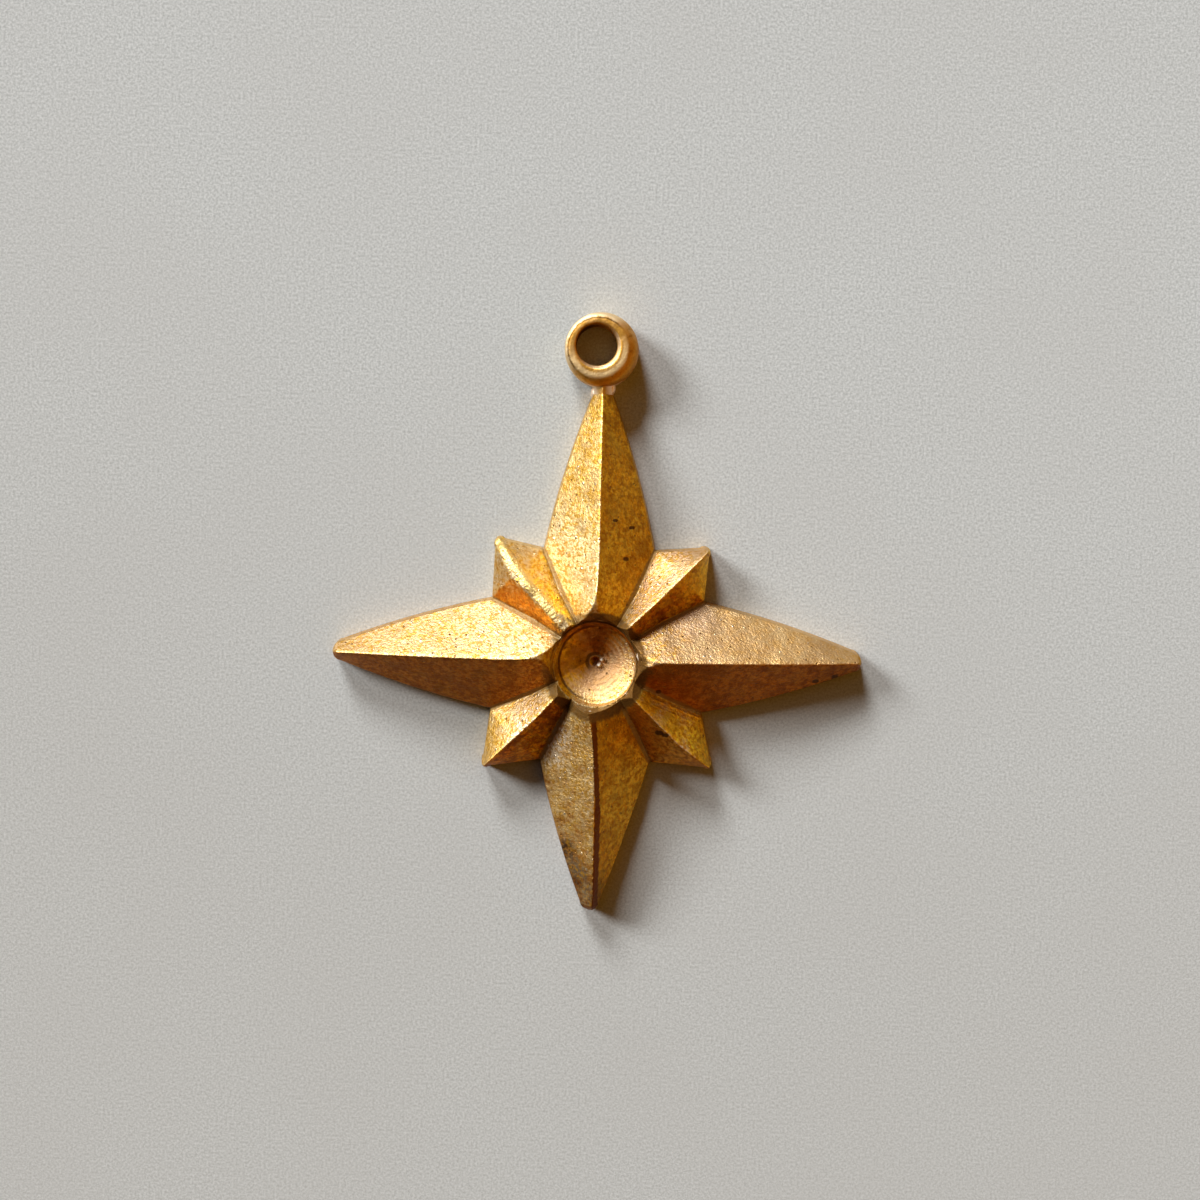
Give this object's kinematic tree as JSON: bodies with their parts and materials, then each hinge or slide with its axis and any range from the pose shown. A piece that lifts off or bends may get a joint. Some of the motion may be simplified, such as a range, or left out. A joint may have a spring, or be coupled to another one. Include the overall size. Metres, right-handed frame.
{
  "type": "star charm",
  "caption": "Cast brass star charm with long and short ridged rays, a round seat for a stone at its centre and a drilled ball eye to hang it by.",
  "frame": {"origin": "on the flat back, under the star's centre", "axes": "+Y from the star's centre to the hanging eye, +Z out of the front, +X to the east ray, as seen from the front with the eye up"},
  "size_m": [0.0202, 0.0228, 0.0029],
  "materials": {
    "gilt_brass": "raw gilt casting, fine grained and satin, with a few dark pits",
    "rubbed_brass": "tumbled smooth, satin to half bright"
  },
  "bodies": {
    "root": {"hub": "gilt_brass", "north_ray": "gilt_brass", "northeast_ray": "gilt_brass", "east_ray": "gilt_brass", "southeast_ray": "gilt_brass", "south_ray": "gilt_brass", "southwest_ray": "gilt_brass", "west_ray": "gilt_brass", "northwest_ray": "gilt_brass", "neck": "rubbed_brass", "hanging_eye": "rubbed_brass"}
  },
  "joints": []
}
